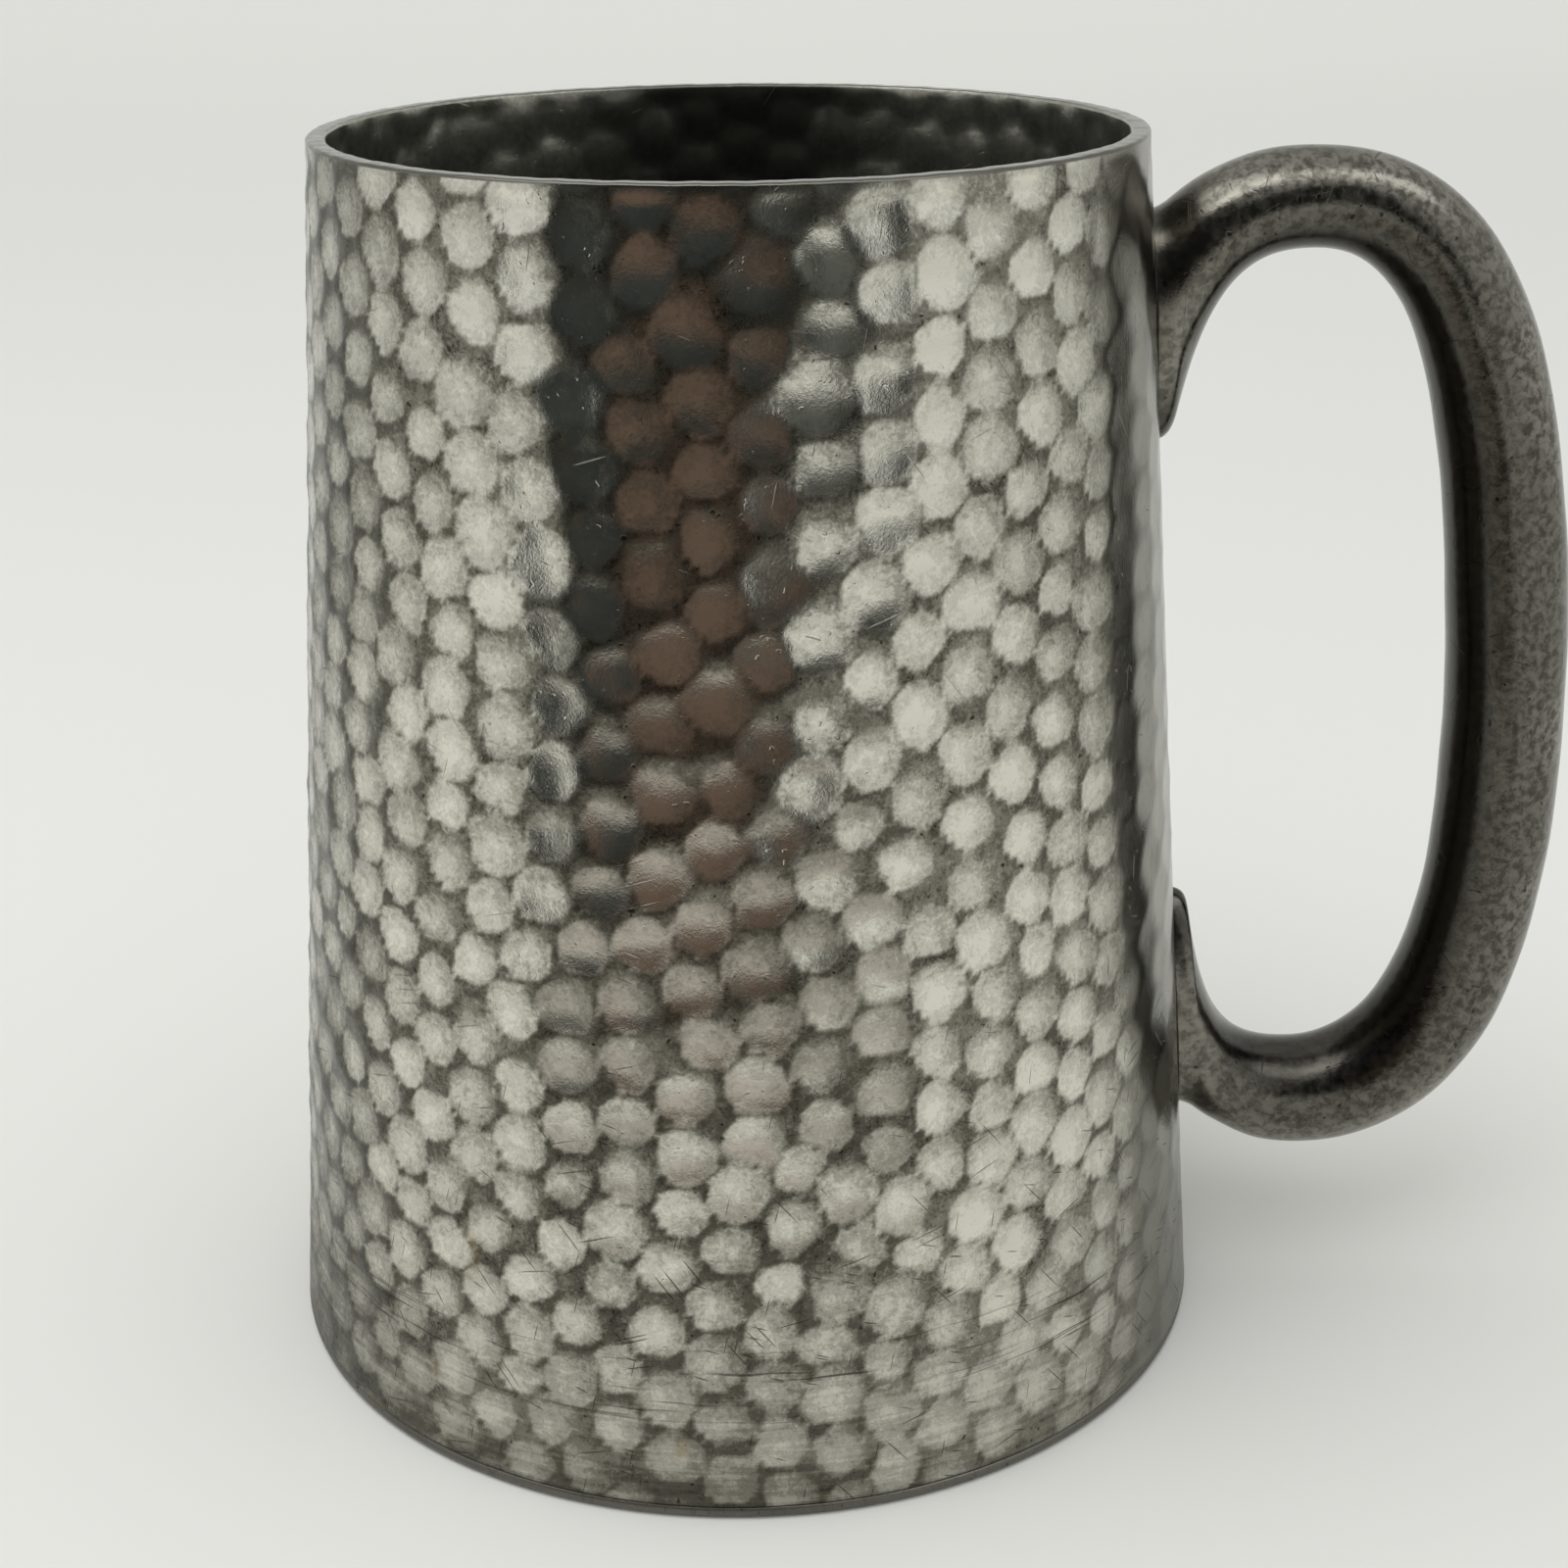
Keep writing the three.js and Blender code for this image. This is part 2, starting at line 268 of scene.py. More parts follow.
def drum_mesh():
    """The drum as closed rings of points round the axis: up the hammered outside, over the rim's two rounded
    edges, down the inside, whose rows are closer near the rim, and back along the seam. The inside's relief
    fades to its own mean, so that the wall stays as thick under the rim."""
    angle = np.arange(around_wall) * 2 * math.pi / around_wall + math.radians(90)
    height_out = np.linspace(seam_height + seam_edge_round, vessel_height - rim_edge_round, rows_outside)
    height_in = np.concatenate((
        np.linspace(vessel_height - rim_edge_round, vessel_height - upper_inside, rows_inside_upper),
        np.linspace(vessel_height - upper_inside, seam_height, rows_inside_lower + 1)[1:],
    ))
    relief_out, ridge_out, painted_shade_out, tone_out = hammered(angle, height_out, ridge_softness)
    relief_in, ridge_in, painted_shade_in, tone_in = hammered(angle, height_in, crease_softness)
    fade_out = relief_fade(height_out)[:, None]
    fade_in = relief_fade(height_in)[:, None]
    radius_out = wall_radius(height_out)[:, None] + relief_out * fade_out * calmed(angle)
    level_in = relief_in.mean()
    radius_in = wall_radius(height_in)[:, None] - wall_thickness
    radius_in = radius_in + inside_relief * (level_in + (relief_in - level_in) * fade_in)
    lean = np.linspace(0, math.pi / 2, rows_round + 1)[1:, None]
    lean_in = lean - lean[0]
    rim_out = radius_out[-1:] - rim_edge_round * (1 - np.cos(lean))
    rim_in = radius_in[:1] + rim_edge_round * (1 - np.sin(lean_in))
    nick = 0.016 * mm * (np.sin(angle * 31 + 2 * np.sin(angle * 7)) + np.sin(angle * 83) - 2)
    rim_out_height = vessel_height - rim_edge_round * (1 - np.sin(lean)) + nick * np.sin(lean)
    rim_in_height = vessel_height - rim_edge_round * (1 - np.cos(lean_in)) + nick * np.cos(lean_in)
    flat = np.zeros(around_wall)
    radius = np.concatenate((radius_out[:1] - seam_edge_round, radius_out, rim_out, rim_in, radius_in))
    height = np.concatenate((
        seam_height + flat[None], height_out[:, None] + flat, rim_out_height, rim_in_height,
        height_in[:, None] + flat,
    ))
    radius = np.concatenate((radius, radius[:1]))
    height = np.concatenate((height, height[:1]))
    points = np.stack((radius * np.cos(angle), radius * np.sin(angle), height), -1)
    rows = len(points) - 1
    faces = ring_faces(rows + 1, around_wall) % (rows * around_wall)
    rim = np.zeros((2 * rows_round, around_wall))
    ridges = np.concatenate((ridge_out[:1], ridge_out, rim, ridge_in))
    # The painted shade of each hollow, kept for the material.
    painted_shades = np.concatenate((painted_shade_out[:1], painted_shade_out, rim, painted_shade_in))
    tones = np.concatenate((tone_out[:1], tone_out, rim + 0.5, tone_in))
    # filed is where the hammering was filed down beside the handle; the material also darkens the wall there
    # as painted shade of the handle.
    filed = np.tile((1 - calmed(angle)) / (1 - filed_relief), rows)
    inside = np.repeat(np.arange(rows) > rows_outside + 1.5 * rows_round, around_wall)
    turn = np.tile(angle - angle[0], rows)
    masks = {"ridge": ridges, "painted_hollow_shade": painted_shades, "stroke_tone": tones, "inside": inside, "filed": filed}
    return points[:-1].reshape(-1, 3), faces, masks, turn


def add_node(tree, kind, inputs=(), **settings):
    """A shader node with its settings and inputs. An input is a socket to link from, or a plain value."""
    node = tree.nodes.new(kind)
    for name, value in settings.items():
        setattr(node, name, value)
    for name, value in dict(inputs).items():
        if isinstance(value, bpy.types.NodeSocket):
            tree.links.new(value, node.inputs[name])
        else:
            node.inputs[name].default_value = value
    return node


def arithmetic(tree, operation, first, second=0.0, third=0.0):
    """A Math node's result."""
    node = add_node(tree, "ShaderNodeMath", {0: first, 1: second, 2: third}, operation=operation)
    return node.outputs[0]


def graded(tree, value, low, high, to_low=0.0, to_high=1.0):
    """A value's smooth rise from to_low at low to to_high at high."""
    node = add_node(tree, "ShaderNodeMapRange", {
        "Value": value, "From Min": low, "From Max": high, "To Min": to_low, "To Max": to_high,
    }, interpolation_type="SMOOTHSTEP")
    return node.outputs["Result"]


def blended(tree, share, first, second):
    """Two colours mixed by a share."""
    return add_node(tree, "ShaderNodeMix", {0: share, 6: first, 7: second}, data_type="RGBA").outputs[2]


def mixed(tree, share, first, second):
    """Two numbers mixed by a share."""
    return add_node(tree, "ShaderNodeMix", {0: share, 2: first, 3: second}, data_type="FLOAT").outputs[0]


def ramp(tree, value, stops):
    """A colour ramp, eased between its stops of place and colour."""
    node = add_node(tree, "ShaderNodeValToRGB", {0: value})
    node.color_ramp.interpolation = "EASE"
    for index, (place, colour) in enumerate(stops):
        stop = node.color_ramp.elements[index] if index < 2 else node.color_ramp.elements.new(place)
        stop.position = place
        stop.color = (*colour, 1)
    return node.outputs["Color"]


def noise(tree, vector, scale, detail=2.0, roughness=0.5, distortion=0.0):
    """A noise texture's value."""
    node = add_node(tree, "ShaderNodeTexNoise", {
        "Vector": vector, "Scale": scale, "Detail": detail, "Roughness": roughness, "Distortion": distortion,
    })
    return node.outputs[0]


def effect_group(name, inputs, outputs):
    """An empty shader node group with named sockets, and its input and output nodes."""
    tree = bpy.data.node_groups.new(name, "ShaderNodeTree")
    for socket, kind, value in inputs:
        made = tree.interface.new_socket(socket, in_out="INPUT", socket_type=kind)
        if value is not None:
            made.default_value = value
    for socket in outputs:
        tree.interface.new_socket(socket, in_out="OUTPUT", socket_type="NodeSocketFloat")
    return tree, tree.nodes.new("NodeGroupInput").outputs, tree.nodes.new("NodeGroupOutput").inputs


def grain_effect():
    """Satin grain of old pewter: fine speckle, blotches about a millimetre wide, slow clouds, and tiny dark
    pits, as masks and a height."""
    tree, given, made = effect_group(
        "pewter_grain",
        (("Vector", "NodeSocketVector", None), ("Scale", "NodeSocketFloat", 1.0)),
        ("Fine", "Blotch", "Cloud", "Pits", "Height"),
    )
    scaled = {0: given["Vector"], "Scale": given["Scale"]}
    place = add_node(tree, "ShaderNodeVectorMath", scaled, operation="SCALE").outputs[0]
    fine = noise(tree, place, 3600, 3, 0.7)
    blotch = noise(tree, place, 1150, 5, 0.66, 0.6)
    cloud = noise(tree, place, 110, 4, 0.6, 0.3)
    pits = graded(tree, noise(tree, place, 1500, 1, 0.5), 0.70, 0.78)
    for name, value in (("Fine", fine), ("Blotch", blotch), ("Cloud", cloud), ("Pits", pits)):
        tree.links.new(value, made[name])
    height = arithmetic(tree, "MULTIPLY_ADD", blotch, 0.6, fine)
    tree.links.new(arithmetic(tree, "SUBTRACT", height, pits), made["Height"])
    return tree


def scratch_effect():
    """Scattered straight scratches: a stretched Voronoi pattern holds one thin dash in each cell, and only
    the few cells whose own random number is under the given amount show it. There are four such patterns,
    each with its turn in degrees, its cells per metre along and across, and its dash's width."""
    tree, given, made = effect_group(
        "scratches",
        (("Vector", "NodeSocketVector", None), ("Amount", "NodeSocketFloat", 0.1)),
        ("Mask",),
    )
    cuts = ((17, 150, 3600, 0.30), (78, 230, 4200, 0.28), (128, 120, 3200, 0.26), (161, 340, 3600, 0.30))
    total = None
    for turn, along, across, dash in cuts:
        mapped = add_node(tree, "ShaderNodeMapping", {
            "Vector": given["Vector"],
            "Rotation": (0, 0, math.radians(turn)),
            "Scale": (1 / along, 1 / across, 1),
        }, vector_type="TEXTURE").outputs[0]
        in_cell = {"Vector": mapped, "Scale": 1.0}
        cells = add_node(tree, "ShaderNodeTexVoronoi", in_cell, voronoi_dimensions="2D")
        line = graded(tree, cells.outputs["Distance"], dash, 0.4 * dash)
        lot = add_node(tree, "ShaderNodeSeparateColor", {0: cells.outputs["Color"]}).outputs[0]
        shown = arithmetic(tree, "LESS_THAN", lot, given["Amount"])
        line = arithmetic(tree, "MULTIPLY", line, shown)
        total = line if total is None else arithmetic(tree, "MAXIMUM", total, line)
    tree.links.new(total, made["Mask"])
    return tree


pewter_grain = grain_effect()
scratches = scratch_effect()


def new_material(name):
    """A new material, its node tree and its Principled shader."""
    material = bpy.data.materials.new(name)
    material.use_nodes = True
    tree = material.node_tree
    return material, tree, tree.nodes["Principled BSDF"]


def use_effect(tree, group, inputs):
    """The outputs of a node group placed in a material's tree, with its own values."""
    return add_node(tree, "ShaderNodeGroup", inputs, node_tree=group).outputs


def hammered_pewter():
    """Pale polished hollows with fine speckle, dark olive tarnish on the ridges with black specks, a dull
    rim, patches of grime, brown stains and scratches low down, a rubbed foot with lines of dirt, and a darker
    inside. Light and shade are painted into the colour as well: painted shade on the upper right of each
    hollow, between the hollows, low down, at the wall's sides, beside the handle, on the rim's back and deep
    inside, a painted dark reflection at the middle of the inside's back, and painted light near the rim and
    low down towards the right. The tarnish is one level, 0 where polished and 1 where dark, which a ramp
    turns into the metal's colour. Dirt, scratches and stains are then laid over it."""
    material, tree, shader = new_material("hammered_pewter")
    surface = add_node(tree, "ShaderNodeUVMap", uv_map="surface").outputs[0]
    place = add_node(tree, "ShaderNodeTexCoord").outputs["Object"]
    side, depth, height = add_node(tree, "ShaderNodeSeparateXYZ", {0: place}).outputs
    ridge, painted_hollow_shade, tone, inside, filed = (
        add_node(tree, "ShaderNodeAttribute", attribute_name=mask_name).outputs["Fac"]
        for mask_name in ("ridge", "painted_hollow_shade", "stroke_tone", "inside", "filed")
    )
    grain = use_effect(tree, pewter_grain, {"Vector": place, "Scale": 1.0})
    low_down = graded(tree, height, 60 * mm, 14 * mm)
    scuffs = use_effect(tree, scratches, {
        "Vector": surface, "Amount": arithmetic(tree, "MULTIPLY_ADD", low_down, 0.022, 0.003),
    })["Mask"]
    worn_foot = graded(tree, height, 22 * mm, 5 * mm)
    round_foot = add_node(tree, "ShaderNodeMapping", {"Vector": surface, "Scale": (90, 1300, 1)}).outputs[0]
    rubbing = arithmetic(tree, "SUBTRACT", noise(tree, round_foot, 1.0, 4, 0.65, 0.3), 0.5)
    line_place = add_node(tree, "ShaderNodeMapping", {"Vector": surface, "Scale": (48, 1900, 1)}).outputs[0]
    dirt_lines = graded(tree, noise(tree, line_place, 1.0, 3, 0.6, 0.2), 0.585, 0.66)
    line_band = arithmetic(tree, "MULTIPLY", graded(tree, height, 19 * mm, 14 * mm),
                           graded(tree, height, 8 * mm, 11 * mm))
    dirt_lines = arithmetic(tree, "MULTIPLY", dirt_lines, line_band)
    grimy = graded(tree, grain["Cloud"], 0.52, 0.72)
    # Painted shade on the left and right of the wall, where it turns away from the front, less towards the
    # back and on the right.
    painted_side_shade = arithmetic(tree, "MULTIPLY", graded(tree, depth, -36 * mm, -16 * mm),
                             graded(tree, depth, 4 * mm, 30 * mm, 1.0, 0.35))
    painted_side_shade = arithmetic(tree, "MULTIPLY", painted_side_shade, graded(tree, side, -10 * mm, 25 * mm, 1.0, 0.6))
    near_rim = graded(tree, height, vessel_height - 32 * mm, vessel_height - 10 * mm)
    # The rubbed share is painted light: lighter low down towards the right of the front and back.
    rubbed = arithmetic(tree, "MULTIPLY", low_down, graded(tree, side, 4 * mm, 22 * mm))

    # The level of tarnish and painted shade: low in a hollow, high between the hollows, with a ragged edge
    # where they meet. The dark between the hollows is partly tarnish and partly painted shade.
    blotch = arithmetic(tree, "SUBTRACT", grain["Blotch"], 0.5)
    fine = arithmetic(tree, "SUBTRACT", grain["Fine"], 0.5)
    # Painted shade and light in each hollow: darker away from its painted light on the lower left, and the
    # ridge a little lighter there.
    hollow = arithmetic(tree, "MULTIPLY_ADD", painted_hollow_shade, 0.52, 0.08)
    hollow = arithmetic(tree, "MULTIPLY_ADD", blotch, 0.95, hollow)
    hollow = arithmetic(tree, "MULTIPLY_ADD", fine, 0.65, hollow)
    hollow = arithmetic(tree, "MULTIPLY_ADD", arithmetic(tree, "SUBTRACT", tone, 0.5), 0.28, hollow)
    between = arithmetic(tree, "MULTIPLY_ADD", painted_hollow_shade, -0.20, 0.93)
    between = arithmetic(tree, "MULTIPLY_ADD", blotch, 0.90, between)
    between = arithmetic(tree, "MULTIPLY_ADD", fine, 0.60, between)
    ragged = arithmetic(tree, "MULTIPLY_ADD", fine, 0.08, ridge)
    ragged = arithmetic(tree, "MULTIPLY_ADD", blotch, 0.07, ragged)
    frayed = mixed(tree, graded(tree, ragged, 0.09, 0.91), hollow, between)
    frayed = arithmetic(tree, "MULTIPLY_ADD", grimy, 0.12, frayed)
    # Darker low down: painted shade.
    frayed = arithmetic(tree, "MULTIPLY_ADD", low_down, 0.10, frayed)
    rubbed_level = arithmetic(tree, "MULTIPLY_ADD", frayed, 0.62, 0.25)
    rubbed_level = arithmetic(tree, "MULTIPLY_ADD", rubbing, 0.75, rubbed_level)
    rubbed_level = arithmetic(tree, "MULTIPLY_ADD", graded(tree, height, 6 * mm, 2 * mm), 0.18, rubbed_level)
    levelled = mixed(tree, worn_foot, frayed, rubbed_level)
    levelled = arithmetic(tree, "MULTIPLY_ADD", painted_side_shade, 0.37, levelled)
    # Lighter near the rim: painted light.
    levelled = arithmetic(tree, "MULTIPLY_ADD", near_rim, -0.10, levelled)
    # Lighter low down towards the right: painted light.
    levelled = arithmetic(tree, "MULTIPLY_ADD", rubbed, -0.14, levelled)
    from_front = arithmetic(tree, "ABSOLUTE", side)
    # Darker low down in the middle of the front and the back.
    darker_low_middle = arithmetic(tree, "MULTIPLY", low_down, graded(tree, from_front, 20 * mm, 6 * mm))
    levelled = arithmetic(tree, "MULTIPLY_ADD", darker_low_middle, 0.09, levelled)
    # Darker beside the handle, most of all close to it: painted shade of the handle on the wall.
    levelled = mixed(tree, arithmetic(tree, "MULTIPLY", filed, 0.50), levelled, 0.78)
    levelled = mixed(tree, graded(tree, filed, 0.60, 1.0, 0.0, 0.60), levelled, 1.02)

    # The colour of the outside, from the level, and the dirt, scratches and stains over it.
    metal = ramp(tree, arithmetic(tree, "MULTIPLY", levelled, 0.77), (
        (0.00, (0.70, 0.685, 0.608)), (1.00, (0.048, 0.046, 0.036)), (0.192, (0.55, 0.538, 0.476)),
        (0.385, (0.37, 0.360, 0.313)), (0.585, (0.205, 0.197, 0.162)), (0.77, (0.100, 0.096, 0.076)),
    ))
    tarnish = graded(tree, levelled, 0.15, 0.95)
    specks = arithmetic(tree, "MULTIPLY", grain["Pits"], graded(tree, ridge, 0.3, 0.9, 0.10, 0.9))
    crack_field = arithmetic(tree, "SUBTRACT", noise(tree, place, 520, 4, 0.6, 1.0), 0.5)
    cracks = graded(tree, arithmetic(tree, "ABSOLUTE", crack_field), 0.022, 0.006)
    cracks = arithmetic(tree, "MULTIPLY", cracks, graded(tree, ridge, 0.55, 0.95))
    cracks = arithmetic(tree, "MULTIPLY", cracks, graded(tree, grain["Cloud"], 0.46, 0.60, 0.0, 0.75))
    specks = arithmetic(tree, "MAXIMUM", specks, cracks)
    specks = arithmetic(tree, "MAXIMUM", specks, arithmetic(tree, "MULTIPLY", dirt_lines, 0.75))
    metal = blended(tree, specks, metal, (0.022, 0.02, 0.017, 1))
    scored_share = arithmetic(tree, "MULTIPLY", scuffs, graded(tree, height, 60 * mm, 14 * mm, 0.35, 0.7))
    metal = blended(tree, scored_share, metal, (0.04, 0.037, 0.031, 1))
    stain = graded(tree, noise(tree, place, 95, 3, 0.6, 0.6), 0.63, 0.74)
    stain = arithmetic(tree, "MULTIPLY", stain, graded(tree, height, 34 * mm, 12 * mm))
    metal = blended(tree, arithmetic(tree, "MULTIPLY", stain, 0.55), metal, (0.30, 0.21, 0.075, 1))

    # The rim's filed edge, darker at the back as painted shade, and the inside, darkened deep down as painted
    # shade and at the middle of the back by a painted dark reflection.
    on_rim = graded(tree, height, vessel_height - 0.40 * mm, vessel_height - 0.22 * mm)
    # The rim is darker towards the back: painted shade.
    painted_rim_shade = graded(tree, depth, -25 * mm, 15 * mm)
    rim_metal = blended(tree, painted_rim_shade, (0.070, 0.067, 0.057, 1), (0.028, 0.027, 0.023, 1))
    metal = blended(tree, arithmetic(tree, "MULTIPLY", on_rim, 0.9), metal, rim_metal)
    patchy = graded(tree, grain["Blotch"], 0.35, 0.65)
    dull_inside = blended(tree, patchy, (0.40, 0.397, 0.345, 1), (0.28, 0.278, 0.240, 1))
    # Painted shade deep inside, darkest on the front wall.
    deep_inside = graded(tree, height, vessel_height - 10 * mm, vessel_height - 18 * mm)
    in_shade = graded(tree, depth, -18 * mm, -32 * mm)
    painted_deep_shade = blended(tree, in_shade, (0.24, 0.232, 0.206, 1), (0.06, 0.058, 0.05, 1))
    dull_inside = blended(tree, deep_inside, dull_inside, painted_deep_shade)
    # A painted dark reflection down the middle of the inside's back wall.
    painted_dark_reflection = graded(tree, from_front, 24 * mm, 4 * mm)
    painted_dark_reflection = arithmetic(tree, "MULTIPLY", painted_dark_reflection, graded(tree, depth, 5 * mm, 25 * mm, 0.0, 0.8))
    dull_inside = blended(tree, painted_dark_reflection, dull_inside, (0.030, 0.029, 0.025, 1))
    metal = blended(tree, inside, metal, dull_inside)
    tree.links.new(metal, shader.inputs["Base Color"])

    # Roughness, greater where tarnished, scratched or worn, and the fine relief of grain and scratches.
    rough = graded(tree, grain["Blotch"], 0.3, 0.7, 0.10, 0.17)
    rough = arithmetic(tree, "MULTIPLY_ADD", tarnish, 0.14, rough)
    rough = mixed(tree, arithmetic(tree, "MULTIPLY", filed, 0.8), rough, 0.15)
    rough = mixed(tree, inside, rough, mixed(tree, deep_inside, 0.26, 0.50))
    rough = arithmetic(tree, "MULTIPLY_ADD", scuffs, 0.2, rough)
    rough = arithmetic(tree, "MULTIPLY_ADD", worn_foot, 0.12, rough)
    tree.links.new(rough, shader.inputs["Roughness"])
    tree.links.new(mixed(tree, inside, 1.0, 0.92), shader.inputs["Metallic"])
    scored = arithmetic(tree, "MULTIPLY_ADD", scuffs, -1.2, grain["Height"])
    bump = add_node(tree, "ShaderNodeBump", {"Height": scored, "Strength": 0.3, "Distance": 0.00004})
    tree.links.new(bump.outputs[0], shader.inputs["Normal"])
    return material


points, faces, masks, turn = drum_mesh()
drum = new_piece("drum", points, [faces])
for mask_name, values in masks.items():
    paint_points(drum, mask_name, values)
lay_out(drum, turn * 0.5 * (rim_radius + foot_radius), points[:, 2])
drum.data.materials.append(hammered_pewter())
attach(drum, "root")
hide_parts("body_drum")


# The base is a round plate of rolled pewter that the drum stands on. Its edge is filed flush with the wall
# and rounded underneath, and the soldered seam shows as a thin dark line all round.
_, plate_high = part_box("base_plate")
plate_edge_round = 0.7 * mm
plate_top = plate_high.z
around_plate = 288


def turned(name, radius, height, around, closed):
    """A surface of revolution about the axis from a profile of radii and heights. A closed profile joins its
    last ring to its first, and an open one has a small flat cap at each end."""
    angle = np.arange(around) * 2 * math.pi / around
    shape = radius[:, None] + np.zeros(around)
    points = np.stack((shape * np.cos(angle), shape * np.sin(angle), height[:, None] + 0 * shape), -1)
    if closed:
        face_sets = [ring_faces(len(radius) + 1, around) % (len(radius) * around)]
    else:
        caps = np.stack((np.arange(around)[::-1], (len(radius) - 1) * around + np.arange(around)))
        face_sets = [ring_faces(len(radius), around), caps]
    piece = new_piece(name, points.reshape(-1, 3), face_sets)
    run = np.append(0, np.cumsum(np.hypot(np.diff(radius), np.diff(height))))
    lay_out(piece, np.tile(angle, len(radius)) * foot_radius, np.repeat(run, around))
    return piece


def plate_profile():
    """From near the middle of the underside, out round the edge's quarter round, up to the seam, and back
    in."""
    lean = np.linspace(-math.pi / 2, 0, 7)
    flat = np.linspace(0.4 * mm, plate_high.y - 2 * plate_edge_round, 40)
    edge_radius = wall_radius(plate_edge_round) - plate_edge_round * (1 - np.cos(lean))
    edge_height = plate_edge_round * (1 + np.sin(lean))
    seam = wall_radius(plate_top) - np.array((0.0, seam_edge_round))
    seam_level = plate_top - np.array((seam_edge_round, 0.0))
    radius = np.concatenate((flat, edge_radius, seam, flat[::-1]))
    height = np.concatenate((0 * flat, edge_height, seam_level, 0 * flat + plate_top))
    return radius, height


def base_pewter():
    """Satin pewter with faint turning rings, wide dull blotches, scratches from standing on tables, and a
    darker edge."""
    material, tree, shader = new_material("base_pewter")
    surface = add_node(tree, "ShaderNodeUVMap", uv_map="surface").outputs[0]
    place = add_node(tree, "ShaderNodeTexCoord").outputs["Object"]
    grain = use_effect(tree, pewter_grain, {"Vector": place, "Scale": 0.9})
    scuffs = use_effect(tree, scratches, {"Vector": place, "Amount": 0.12})["Mask"]
    ring_place = add_node(tree, "ShaderNodeMapping", {"Vector": surface, "Scale": (12, 2600, 1)}).outputs[0]
    rings = noise(tree, ring_place, 1.0, 2, 0.5)
    cloud = noise(tree, place, 48, 4, 0.6, 0.8)
    metal = blended(tree, graded(tree, cloud, 0.35, 0.7), (0.40, 0.385, 0.345, 1), (0.20, 0.19, 0.165, 1))
    metal = blended(tree, graded(tree, grain["Fine"], 0.4, 0.7, 0.0, 0.5), metal, (0.13, 0.125, 0.11, 1))
    metal = blended(tree, arithmetic(tree, "MULTIPLY", scuffs, 0.6), metal, (0.06, 0.056, 0.05, 1))
    level_place = {0: place, 1: (1, 1, 0)}
    level_place = add_node(tree, "ShaderNodeVectorMath", level_place, operation="MULTIPLY").outputs[0]
    from_axis = add_node(tree, "ShaderNodeVectorMath", {0: level_place}, operation="LENGTH").outputs["Value"]
    on_edge = graded(tree, from_axis, foot_radius - 1.5 * mm, foot_radius - 0.6 * mm, 0.0, 0.8)
    metal = blended(tree, on_edge, metal, (0.105, 0.101, 0.087, 1))
    metal = blended(tree, arithmetic(tree, "MULTIPLY", grain["Pits"], 0.7), metal, (0.03, 0.028, 0.025, 1))
    tree.links.new(metal, shader.inputs["Base Color"])
    tree.links.new(graded(tree, rings, 0.3, 0.7, 0.30, 0.44), shader.inputs["Roughness"])
    shader.inputs["Metallic"].default_value = 1.0
    lined = arithmetic(tree, "MULTIPLY_ADD", rings, 1.4, grain["Height"])
    bump = add_node(tree, "ShaderNodeBump", {"Height": lined, "Strength": 0.35, "Distance": 0.00006})
    tree.links.new(bump.outputs[0], shader.inputs["Normal"])
    return material


plate = turned("base_disc", *plate_profile(), around_plate, closed=False)
plate.data.materials.append(base_pewter())
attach(plate, "root")
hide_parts("base_plate")


# A run of soft solder fills the inside corner between the wall and the base, drawn round with an iron, so its
# face is hollow and a little uneven.
solder_low, solder_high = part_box("base_solder_ring")
solder_leg = solder_high.z - solder_low.z


def corner_profile():
    """A hollow quarter round between the plate and the wall, closed along both of them."""
    inner_wall = wall_radius(plate_top) - wall_thickness
    lean = np.linspace(0, math.pi / 2, 9)
    radius = inner_wall - solder_leg * (1 - np.sin(lean)) - 0.05 * mm
    height = plate_top + solder_leg * (1 - np.cos(lean)) + 0.05 * mm
    foot = (inner_wall + 0.2 * mm, plate_top - 0.05 * mm)
    back = (inner_wall - solder_leg - 0.1 * mm, plate_top - 0.05 * mm)
    radius = np.concatenate((radius, (foot[0], back[0])))
    height = np.concatenate((height, (foot[1], back[1])))
    return radius[::-1], height[::-1]


def dull_solder():
    """Dull dark grey solder, blotchy and pitted; its darkness is partly old grime and partly painted shade of
    the crevices that it fills.
    """
    material, tree, shader = new_material("solder")
    place = add_node(tree, "ShaderNodeTexCoord").outputs["Object"]
    grain = use_effect(tree, pewter_grain, {"Vector": place, "Scale": 1.6})
    patchy = graded(tree, grain["Blotch"], 0.35, 0.65)
    metal = blended(tree, patchy, (0.070, 0.066, 0.057, 1), (0.022, 0.021, 0.018, 1))
    metal = blended(tree, arithmetic(tree, "MULTIPLY", grain["Pits"], 0.8), metal, (0.02, 0.019, 0.017, 1))
    tree.links.new(metal, shader.inputs["Base Color"])
    tree.links.new(graded(tree, grain["Fine"], 0.3, 0.7, 0.40, 0.58), shader.inputs["Roughness"])
    shader.inputs["Metallic"].default_value = 1.0
    bump = add_node(tree, "ShaderNodeBump", {"Height": grain["Height"], "Strength": 0.6, "Distance": 0.0001})
    tree.links.new(bump.outputs[0], shader.inputs["Normal"])
    return material


solder = dull_solder()
corner = turned("base_corner_solder", *corner_profile(), around_plate, closed=True)
corner.data.materials.append(solder)
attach(corner, "root")
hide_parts("base_solder_ring")


